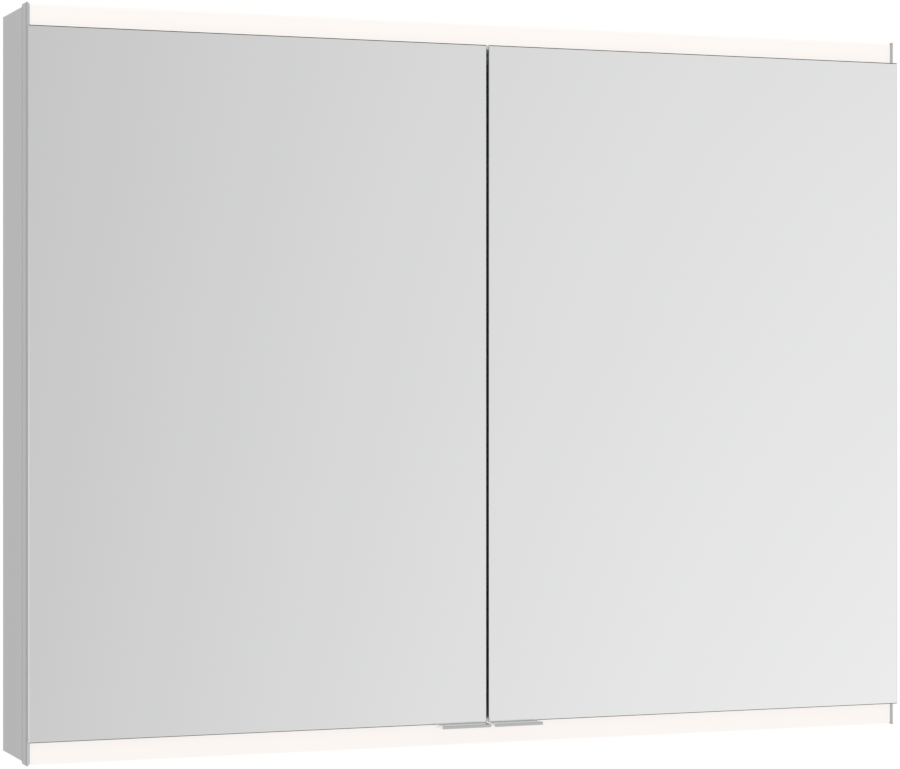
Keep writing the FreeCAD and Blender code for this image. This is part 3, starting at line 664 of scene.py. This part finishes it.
def merged(node):
    """A copy of a design piece whose loose triangles are merged into whole faces, left open."""
    source = frame["nodes"][node]
    piece = bpy.data.objects.new(node + "_finished", source.data.copy())
    bpy.context.scene.collection.objects.link(piece)
    edit(piece)
    bpy.ops.mesh.select_all(action="SELECT")
    bpy.ops.mesh.remove_doubles(threshold=0.001 * MM)
    bpy.ops.mesh.dissolve_limited(angle_limit=math.radians(0.5))
    return piece


print("design pieces on", len(set(BODY_OF.values())), "bodies can be copied, eased and settled")

# %% [markdown]
# ## Mirror doors
# Each door is two silvered panes bonded back to back. A pane could be a plain block, but then
# its edge would vanish: on the real one a ground and polished bevel runs round the face, and it
# is what draws the fine dark line along the top of the door. So the rim edges are selected and
# bevelled, and the face, the bevel and the sides each take their own finish.

# %% Mirror panes
DOOR_BEVEL = 0.8 * MM
REAR_BEVEL = 0.7 * MM
SLANTED = 0.3


def mirror_pane(node, outward, bevel, face_finish):
    """A pane whose silvered face looks along outward: -1 to the room, 1 to the wall."""
    low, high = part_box(node)
    face_level = low.y if outward < 0 else high.y
    pane = block(node + "_glass", low, high)
    pick("EDGE", lambda edge: near(edge, y=face_level))
    bpy.ops.mesh.bevel(offset=bevel, segments=1)
    settle(pane, node, face_finish, mirror_bevel, mirror_edge)
    for face in pane.data.polygons:
        facing = abs(face.normal.y)
        face.material_index = 0 if facing > FLAT else 1 if facing > SLANTED else 2
    return pane


for side in ("left", "right"):
    mirror_pane("mirror_front_" + side, -1, DOOR_BEVEL, door_silver)
    mirror_pane("mirror_back_" + side, 1, REAR_BEVEL, door_silver)
    mirror_pane("rear_mirror_" + side, -1, REAR_BEVEL, back_silver)
print("six mirror panes, the door bevel is", DOOR_BEVEL / MM, "mm")

# %% [markdown]
# ## Handles
# A handle is a short piece of angle, cut from an extruded profile. Its plate lies under the door
# and reaches out to the fingers, and its leg is bonded to the door's back. It starts as a block
# the size of the plate. Bisecting the block behind the door gives a strip that can be extruded
# upwards, and the front edges get a larger round than the others because fingers pull there.

# %% Handles
FINGER_ROUND = 0.7 * MM
CORNER_ROUND = 0.4 * MM
SAWN_EDGE = 0.2 * MM


def handle():
    """The right handle: a plate under the door, and a leg up the door's back."""
    low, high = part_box("handle_right")
    door_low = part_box("mirror_front_right")[0]
    door_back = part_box("mirror_back_right")[1].y
    angle = block("door_handle_right", low, (high.x, high.y, door_low.z))
    cut_across("y", door_back)
    pick("FACE", lambda face: looks(face, "z") and face.calc_center_median().y > door_back)
    pull(0, 0, high.z - door_low.z)
    pick("EDGE", lambda edge: near(edge, y=low.y) and runs(edge, "x"))
    bpy.ops.mesh.bevel(offset=FINGER_ROUND, segments=4)
    pick("EDGE", lambda edge: near(edge, y=door_back, z=door_low.z) and runs(edge, "x"))
    bpy.ops.mesh.bevel(offset=CORNER_ROUND, segments=2)
    return ease(angle, SAWN_EDGE)


right_handle = handle()
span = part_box("handle_left")[0].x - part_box("handle_right")[0].x
left_handle = copy_of(right_handle, "door_handle_left", Matrix.Translation((span, 0, 0)))
settle(right_handle, "handle_right")
settle(left_handle, "handle_left")
print("two handles of", len(right_handle.data.polygons), "faces")

# %% [markdown]
# ## Folded casing
# The side panels and covers are sheet, folded in a press brake, and a fold always has a radius:
# a small one inside, and outside one that is larger by about the sheet's thickness. A sharp fold
# is the first thing that makes a metal box look like a drawing. The design pieces already have
# the right outline, so each is copied and merged, and its fold is rounded before its cut edges.

# %% Sides and covers
SIDE_SHEET = 2 * MM
COVER_SHEET = 1.5 * MM
SIDE_FOLD = 2.4 * MM
COVER_FOLD = 2 * MM
INNER_PART = 1 / 4


def fold(axis, outer, inner, radius):
    """Round the outside of a fold along an axis, and its inside by a part of that."""
    for place, size in ((outer, radius), (inner, radius * INNER_PART)):
        pick("EDGE", lambda edge: runs(edge, axis) and near(edge, **place))
        bpy.ops.mesh.bevel(offset=size, segments=5)


def outer_face(node, axis, sign):
    """Where a piece ends along an axis, on its outer side."""
    low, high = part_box(node)
    return getattr(high if sign > 0 else low, axis)


for side, sign in (("left", -1), ("right", 1)):
    node = "side_panel_" + side
    panel = merged(node)
    face = outer_face(node, "x", sign)
    fold("z", {"x": face, "y": 0}, {"x": face - sign * SIDE_SHEET, "y": -SIDE_SHEET}, SIDE_FOLD)
    settle(ease(panel, 0.25 * MM), node)
    settle(ease(merged("frame_profile_" + side), 0.15 * MM), "frame_profile_" + side)

for level, sign in (("top", 1), ("bottom", -1)):
    node = level + "_cover"
    cover = merged(node)
    face = outer_face(node, "z", sign)
    fold("x", {"z": face, "y": 0}, {"z": face - sign * COVER_SHEET, "y": -SIDE_SHEET}, COVER_FOLD)
    settle(ease(cover, 0.2 * MM), node, cover_aluminium)
print("casing: four folded sheets and two frame profiles")

# %% [markdown]
# ## Pieces that only need their edges eased
# Most of the other pieces have their true shape in the design. What they lack is the small round
# that sawing, moulding or casting leaves on every edge, and which catches the light. The width
# of that round depends on how the piece is made: a tenth of a millimetre or two on extrusions
# and stampings, more on lacquered boards and on mouldings.

# %% Eased copies of design pieces
EASED = {
    0.1 * MM: ("hanging_rail", "wall_rail", "rear_channel", "rear_panel", "light_channel_top",
               "light_channel_bottom", "led_board_top", "led_board_bottom", "rocker_pin",
               "partition_seal", "lower_light_lead"),
    0.25 * MM: ("hinge_pins", "socket_inserts", "switch_frame", "shelf_pins", "cable_grommet",
                "ceiling_board", "floor_board"),
    0.35 * MM: ("side_liner_left", "side_liner_right", "partition"),
    0.5 * MM: ("opal_cover_top", "opal_cover_bottom", "terminal_block"),
    1.0 * MM: ("socket_housing", "light_supply")}
EASED[0.3 * MM] = [f"hinge_{part}_{side}_{level}" for part in ("base", "arm")
                   for side in ("left", "right") for level in ("upper", "lower")]
for width, nodes in EASED.items():
    for node in nodes:
        settle(ease(merged(node), width), node)
print(sum(len(nodes) for nodes in EASED.values()), "pieces eased")

# %% [markdown]
# ## Glass shelves
# A shelf is 5 mm float glass with arrissed edges, and it lies loose on four pins. A plain block
# would do for the glass, but an arris is what catches the light, and the thing by which a clear
# shelf is seen at all. One shelf is modelled, and the other three are copies.

# %% Shelves
ARRIS = 0.6 * MM
low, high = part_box("shelf_right_upper")
first_shelf = ease(block("shelf_right_upper_glass", low, high), ARRIS)
for side in ("left", "right"):
    for level in ("upper", "lower"):
        node = f"shelf_{side}_{level}"
        if node == "shelf_right_upper":
            shelf = first_shelf
        else:
            shelf = copy_of(first_shelf, node + "_glass", Matrix.Translation(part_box(node)[0] - low))
        settle(shelf, node)
print("four shelves,", round((high.x - low.x) / MM), "mm wide")

# %% [markdown]
# ## Hinge screws
# Each hinge base is held by two round-headed screws with a cross recess. The recess is cut with
# two tapered blocks, one wide and one tall, as the punch that forms it has two crossed wings.
# One screw is modelled at the origin, then copied to its eight places, each turned a little
# differently, because nobody lines screws up.

# %% Hinge screws
HEAD_RADIUS = 4 * MM
HEAD_TALL = 1.6 * MM
HEAD_ROUND = 0.9 * MM
RECESS = (-0.5 * MM, 1.1 * MM)
WING_THIN = 0.5 * MM
WING_WIDE = 2.4 * MM
WING_TAPER = 0.55
SCREW_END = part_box("hinge_screws")[1].x
BASE_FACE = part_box("hinge_base_right_upper")[0].x
SCREW_OFFSETS = ((15 * MM, 12 * MM), (29 * MM, -12 * MM))
TURN_BETWEEN = 1.13


def on_axis(joint_name):
    """A point on the axis of a joint."""
    return next(joint["pos_m"] for joint in frame["joints"] if joint["name"] == joint_name)


def cross_screw():
    """A screw along x with its head at the origin, looking towards -x."""
    screw = rod("hinge_screw", "x", HEAD_RADIUS, (0, HEAD_TALL), (0, 0), 32)
    pick("EDGE", lambda edge: near(edge, x=0))
    bpy.ops.mesh.bevel(offset=HEAD_ROUND, segments=4)
    pick("FACE", lambda face: looks(face, "x"))
    bpy.ops.mesh.inset(thickness=HEAD_RADIUS / 2)
    pull(SCREW_END - BASE_FACE, 0, 0)
    wings = []
    for wide, tall in ((WING_THIN, WING_WIDE), (WING_WIDE, WING_THIN)):
        wing = block("wing", (RECESS[0], -wide, -tall), (RECESS[1], wide, tall))
        pick("FACE", lambda face: looks(face, "x"))
        bpy.ops.transform.resize(value=(1, WING_TAPER, WING_TAPER))
        wings.append(wing)
    clear()
    for wing in wings:
        cut = screw.modifiers.new("recess", "BOOLEAN")
        cut.object = wing
        cut.operation = "DIFFERENCE"
        cut.solver = "EXACT"
    apply_all(screw)
    for wing in wings:
        bpy.data.objects.remove(wing)
    return ease(screw, 0.08 * MM, 1)


base_screw = cross_screw()
hinge_depth = on_axis("left_door_hinge")[1]
count = 0
for side, sign in (("left", -1), ("right", 1)):
    facing = Matrix.Rotation(math.pi if sign < 0 else 0, 4, "Z")
    for level in ("upper", "lower"):
        low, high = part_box(f"hinge_base_{side}_{level}")
        for reach, rise in SCREW_OFFSETS:
            count += 1
            height = (low.z + high.z) / 2 + sign * rise
            head = Vector((sign * (BASE_FACE - HEAD_TALL), hinge_depth + reach, height))
            turned = Matrix.Rotation(count * TURN_BETWEEN, 4, "X")
            screw = copy_of(base_screw, f"hinge_screw_{count}", turned, facing, Matrix.Translation(head))
            settle(screw, "hinge_screws")
bpy.data.objects.remove(base_screw)
print(count, "hinge screws")

# %% [markdown]
# ## Sockets and light switch
# In the right compartment a small housing holds two sockets and the switch for the lights. The
# round recesses are design pieces. Their metal is added here: a sprung sleeve behind each
# contact hole, and an earth clip above and below, which touches a plug first. The clip is a flat
# strip. Cutting it across gives three cross-sections, and moving the middle one makes the bump
# that touches the plug.

# %% Sizes of the sockets' metal
SOCKET_LOW, SOCKET_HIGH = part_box("socket_inserts")
RIM_RADIUS = 22.5 * MM
RECESS_FLOOR = 3 * MM
CONTACT_APART = 9.5 * MM
SLEEVE_RADIUS = 2.45 * MM
SLEEVE_LONG = 3 * MM
SLEEVE_BORE = 2.4 * MM
SLEEVE_WALL = 0.5 * MM
SLEEVE_SUNK = 0.4 * MM
CLIP_RISE = 19.2 * MM
CLIP_THICK = 0.8 * MM
CLIP_HALF_WIDE = 3 * MM
CLIP_SPAN = (0.6 * MM, 13.5 * MM)
CLIP_SUNK = 1.2 * MM
BUMP_AT = 6 * MM
BUMP_HALF = 2.5 * MM
BUMP_HIGH = 1.8 * MM
socket_level = (SOCKET_LOW.z + SOCKET_HIGH.z) / 2
socket_places = (SOCKET_LOW.x + RIM_RADIUS, SOCKET_HIGH.x - RIM_RADIUS)
sleeve_mouth = SOCKET_HIGH.y - RECESS_FLOOR + SLEEVE_SUNK
clip_front = SOCKET_LOW.y + CLIP_SUNK
print("sockets at", [round(x / MM) for x in socket_places], "mm, level", round(socket_level / MM))

# %% Contact sleeves and earth clips
def contact_sleeve():
    """A sleeve along y at the origin, its mouth at y = 0."""
    sleeve = rod("contact_sleeve", "y", SLEEVE_RADIUS, (0, SLEEVE_LONG), (0, 0), 24)
    pick("FACE", lambda face: looks(face, "y", -1))
    bpy.ops.mesh.inset(thickness=SLEEVE_WALL)
    pull(0, SLEEVE_BORE, 0)
    return ease(sleeve, 0.12 * MM)


def earth_clip():
    """A sprung strip above a socket centre at the origin, its bump towards the centre."""
    front, back = CLIP_SPAN
    clip = block("earth_clip", (-CLIP_HALF_WIDE, front, CLIP_RISE - CLIP_THICK),
                 (CLIP_HALF_WIDE, back, CLIP_RISE))
    for level in (BUMP_AT - BUMP_HALF, BUMP_AT, BUMP_AT + BUMP_HALF):
        cut_across("y", level)
    pick("EDGE", lambda edge: near(edge, y=BUMP_AT))
    bpy.ops.transform.translate(value=(0, 0, -BUMP_HIGH))
    return ease(clip, 0.2 * MM)


base_sleeve = contact_sleeve()
base_clip = earth_clip()
for number, x in enumerate(socket_places, start=1):
    for name, offset in (("near", -CONTACT_APART), ("far", CONTACT_APART)):
        mouth = Matrix.Translation((x + offset, sleeve_mouth, socket_level))
        sleeve = copy_of(base_sleeve, f"contact_sleeve_{number}_{name}", mouth)
        attach(sleeve, "cabinet", "pin_steel", pin_steel)
    for name, turn in (("upper", 0), ("lower", math.pi)):
        centre = Matrix.Translation((x, clip_front, socket_level))
        clip = copy_of(base_clip, f"earth_clip_{number}_{name}", Matrix.Rotation(turn, 4, "Y"), centre)
        attach(clip, "cabinet", "hinge_nickel", hinge_nickel)
for pattern in (base_sleeve, base_clip):
    bpy.data.objects.remove(pattern)
print("two sleeves and two clips in each socket")

# %% [markdown]
# ## Rocker
# The switch is a rocker on a pin. Its face is hollow, so that a finger finds the high end, and
# one end carries a small light dot. It is modelled upright about its pin and then tilted to the
# side it rests on, because a tilted block is awkward to cut across.

# %% Rocker
ROCKER_TILT = math.radians(-6)
HALF_WIDE = 7.2 * MM
HALF_TALL = 11.6 * MM
ROCKER_FRONT = -5.5 * MM
ROCKER_BACK = 1 * MM
HOLLOW_DEEP = 0.9 * MM
HOLLOW_ROUND = 9 * MM
KEEL = 2 * MM
DOT_RADIUS = 1.1 * MM
DOT_LONG = 0.8 * MM
DOT_RISE = 8 * MM
DOT_ROUND = 0.3 * MM
pivot = Vector(on_axis("light_switch"))


def hollow_rocker():
    """The rocker about its pin, with a hollow face and a keel that the pin goes through."""
    rocker = block("rocker", (-HALF_WIDE, ROCKER_FRONT, -HALF_TALL), (HALF_WIDE, ROCKER_BACK, HALF_TALL))
    cut_across("z", 0)
    for level, move in ((ROCKER_FRONT, HOLLOW_DEEP), (ROCKER_BACK, KEEL)):
        pick("EDGE", lambda edge: near(edge, y=level, z=0))
        bpy.ops.transform.translate(value=(0, move, 0))
    pick("EDGE", lambda edge: near(edge, y=ROCKER_FRONT + HOLLOW_DEEP, z=0))
    bpy.ops.mesh.bevel(offset=HOLLOW_ROUND, segments=8)
    ease(rocker, 0.6 * MM, 3)
    dot = rod("dot", "y", DOT_RADIUS, (ROCKER_FRONT, ROCKER_FRONT + DOT_LONG), (0, DOT_RISE), 24)
    pick("EDGE", lambda edge: near(edge, y=ROCKER_FRONT))
    bpy.ops.mesh.bevel(offset=DOT_ROUND, segments=2)
    clear()
    for piece in (rocker, dot):
        piece.data.materials.append(FINISH_OF["rocker_plastic"])
        piece.data.materials.append(dot_white)
        piece.select_set(True)
    for face in dot.data.polygons:
        face.material_index = 1
    bpy.context.view_layer.objects.active = rocker
    bpy.ops.object.join()
    rocker.data.transform(Matrix.Translation(pivot) @ Matrix.Rotation(ROCKER_TILT, 4, "X"))
    return rocker


rocker = hollow_rocker()
attach(rocker, "rocker", "rocker_plastic")
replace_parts(rocker, "light_rocker")
print("rocker turns about", tuple(round(value / MM, 1) for value in pivot))

# %% [markdown]
# ## Behind the cabinet
# The hook rail is riveted to the rear panel above its hook, and two rubber pads keep the lower
# edge off the wall. A rivet is a disc with a domed rim, a pad a disc with a moulded dish. The
# clear stops that the doors close against are the same idea at another size.

# %% Rivets, pads and door stops
def disc(name, radius, thick, dome, segments):
    """A disc along y at the origin, its domed face towards +y, left open."""
    made = rod(name, "y", radius, (0, thick), (0, 0), 32)
    pick("EDGE", lambda edge: near(edge, y=thick))
    bpy.ops.mesh.bevel(offset=dome, segments=segments)
    return made


def spread(pattern, name, places, turn, finish_it):
    """Copy a disc to every place, turned half round if it should face the room."""
    for number, place in enumerate(places, start=1):
        finish_it(copy_of(pattern, f"{name}_{number}", Matrix.Rotation(turn, 4, "Z"),
                          Matrix.Translation(place)))
    bpy.data.objects.remove(pattern)


RAIL_SHEET = 2 * MM
RIVET_RADIUS = 2.3 * MM
RIVET_TALL = 1.1 * MM
RIVET_DOME = 0.9 * MM
RIVET_AT = (20 * MM, 150 * MM, 340 * MM)
RIVET_BELOW_EDGE = 3 * MM
rail_low, rail_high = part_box("hanging_rail")
rivet_face = rail_low.y + RAIL_SHEET
rivet_level = rail_high.z - RIVET_BELOW_EDGE
rivet_places = [(sign * x, rivet_face, rivet_level) for x in RIVET_AT for sign in (-1, 1)]
rivet = ease(disc("rivet", RIVET_RADIUS, RIVET_TALL, RIVET_DOME, 4), 0.05 * MM, 1)
spread(rivet, "rail_rivet", rivet_places, 0,
       lambda piece: attach(piece, "cabinet", "pin_steel", pin_steel))

PAD_ROUND = 1.4 * MM
DISH_RIM = 2.5 * MM
DISH_DEEP = 1.2 * MM
pad_low, pad_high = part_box("wall_pads")
pad_radius = (pad_high.z - pad_low.z) / 2
pad_level = (pad_low.z + pad_high.z) / 2
pad_places = [(x, pad_low.y, pad_level) for x in (pad_low.x + pad_radius, pad_high.x - pad_radius)]
pad = disc("pad", pad_radius, pad_high.y - pad_low.y, PAD_ROUND, 4)
pick("FACE", lambda face: looks(face, "y"))
bpy.ops.mesh.inset(thickness=DISH_RIM)
pull(0, -DISH_DEEP, 0)
ease(pad, 0.2 * MM)
spread(pad, "wall_pad", pad_places, 0, lambda piece: settle(piece, "wall_pads"))

STOP_RADIUS = 4 * MM
STOP_DOME = 1.8 * MM
INNER_STOP = 80 * MM
stop_low, stop_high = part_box("door_bumpers")
stop_levels = (stop_low.z + STOP_RADIUS, stop_high.z - STOP_RADIUS)
stop_places = [(sign * x, stop_high.y, z) for x in (INNER_STOP, stop_high.x - STOP_RADIUS)
               for sign in (-1, 1) for z in stop_levels]
stop = ease(disc("stop", STOP_RADIUS, stop_high.y - stop_low.y, STOP_DOME, 5), 0.1 * MM, 1)
spread(stop, "door_stop", stop_places, math.pi, lambda piece: settle(piece, "door_bumpers"))
print("six rivets, two pads, eight door stops")

# %% [markdown]
# ## Light
# A mirror shows its surroundings, so the studio is a sky whose brightness depends on direction.
# In front of the cabinet it brightens softly from the middle to the sides, as between two wide
# light panels, so from where the camera stands the doors brighten from left to right. A dark
# slot overhead and a fainter one below draw the fine lines along the doors' bevels. Seen
# directly the sky is plain white, and matt surfaces get an even light from all of it. One broad
# lamp overhead gives the soft shadows under the folds.

# %% A tree for the world
bpy.context.scene.view_settings.view_transform = "Standard"
sky = bpy.data.worlds.new("studio")
bpy.context.scene.world = sky
sky.use_nodes = True


class SkyTree(Finish):
    """The same short ways, for the world's tree."""

    def __init__(self, world):
        self.tree = world.node_tree
        self.shader = self.tree.nodes["Background"]


studio = SkyTree(sky)
print("world", sky.name, "is ready for its tree")

# %% Sky
PANEL_DIMMEST = 0.47
PANEL_BRIGHTEST = 0.92
PANEL_SOFTNESS = 0.12
ROOM_BEHIND = 0.62
SLOT_FORWARD = 0.115
SLOT_OVERHEAD = 0.06
SLOT_BELOW = 0.22
MATT_FILL = 0.92
sideways, depthwise, upward = studio.split(studio.node("ShaderNodeTexCoord", output="Generated"))
ahead = studio.maths("MAXIMUM", abs(depthwise), 0.15)
across = studio.maths("MINIMUM", abs(sideways) / ahead, 0.70)
rise = studio.maths("MINIMUM", studio.maths("MAXIMUM", upward / ahead, -0.4), 0.4)
wanted = 0.31 + across * 1.44 - across * across * 1.02 - across * rise * 0.57
wanted = studio.maths("SMOOTH_MAX", wanted, PANEL_DIMMEST, PANEL_SOFTNESS)
panel = studio.maths("MINIMUM", wanted / DOOR_TONE, PANEL_BRIGHTEST)
behind = studio.step(depthwise, 0.0, 0.25)
around = panel + behind * (ROOM_BEHIND - panel)
steep = studio.step(abs(upward), 0.5, 0.8)
in_line = studio.step(abs(depthwise - SLOT_FORWARD), 0.1, 0.2, 1.0, 0.0)
to_right = studio.step(sideways, 0.08, 0.18)
slot = studio.step(upward, -0.5, 0.5, SLOT_BELOW, SLOT_OVERHEAD)
level = around + steep * in_line * to_right * (slot - around)
seen = studio.node("ShaderNodeLightPath", output="Is Camera Ray")
soft = studio.node("ShaderNodeLightPath", output="Is Diffuse Ray")
fill = level + soft * (MATT_FILL - level)
shown = fill + seen * (1.0 - fill)
studio.feed("Color", studio.node("ShaderNodeCombineXYZ", None, {0: shown, 1: shown, 2: shown}))
print("sky: a soft panel in front, plain white to the eye")

# %% Lamp
lamp = bpy.data.lights.new("overhead_lamp", "AREA")
lamp.shape = "RECTANGLE"
lamp.size = 2.4
lamp.size_y = 1.6
lamp.energy = 20
lamp_object = bpy.data.objects.new("overhead_lamp", lamp)
lamp_object.location = (-0.3, -0.9, 2.3)
lamp_object.rotation_euler = (math.radians(18), 0, 0)
lamp_object.visible_glossy = False
bpy.context.scene.collection.objects.link(lamp_object)
print("lamp of", lamp.energy, "W at", tuple(round(value, 2) for value in lamp_object.location))

# %% [markdown]
# ## Floor
# Most views look down on the cabinet a little, and a pale floor well below it gives them a
# ground. Its rim fades out, so no edge shows against the white, and the mirrors don't show it.

# %% Floor
FLOOR_LEVEL = -1.15
FLOOR_RADIUS = 2.3
clear()
bpy.ops.mesh.primitive_circle_add(vertices=96, radius=FLOOR_RADIUS, fill_type="NGON",
                                  location=(0, 0, FLOOR_LEVEL))
floor = own("floor")
clear()
pale = Finish("pale_floor", Specular_IOR_Level=0.2, Roughness=0.8)
x, y, _ = pale.axes()
distance = pale.maths("SQRT", x * x + y * y)
pale.feed("Base Color", pale.blend(pale.noise(6, 3), grey(0.90), grey(0.93)))
pale.feed("Alpha", pale.step(distance, FLOOR_RADIUS * 0.55, FLOOR_RADIUS * 0.98, 1.0, 0.0))
floor.data.materials.append(pale.material)
floor.visible_glossy = False
print("floor", -FLOOR_LEVEL, "m below the middle of the cabinet")

# %% [markdown]
# ## The last line
# The finished model must not be larger than the design. The last line brings the scene up to date.

# %% The last line
bpy.context.view_layer.update()
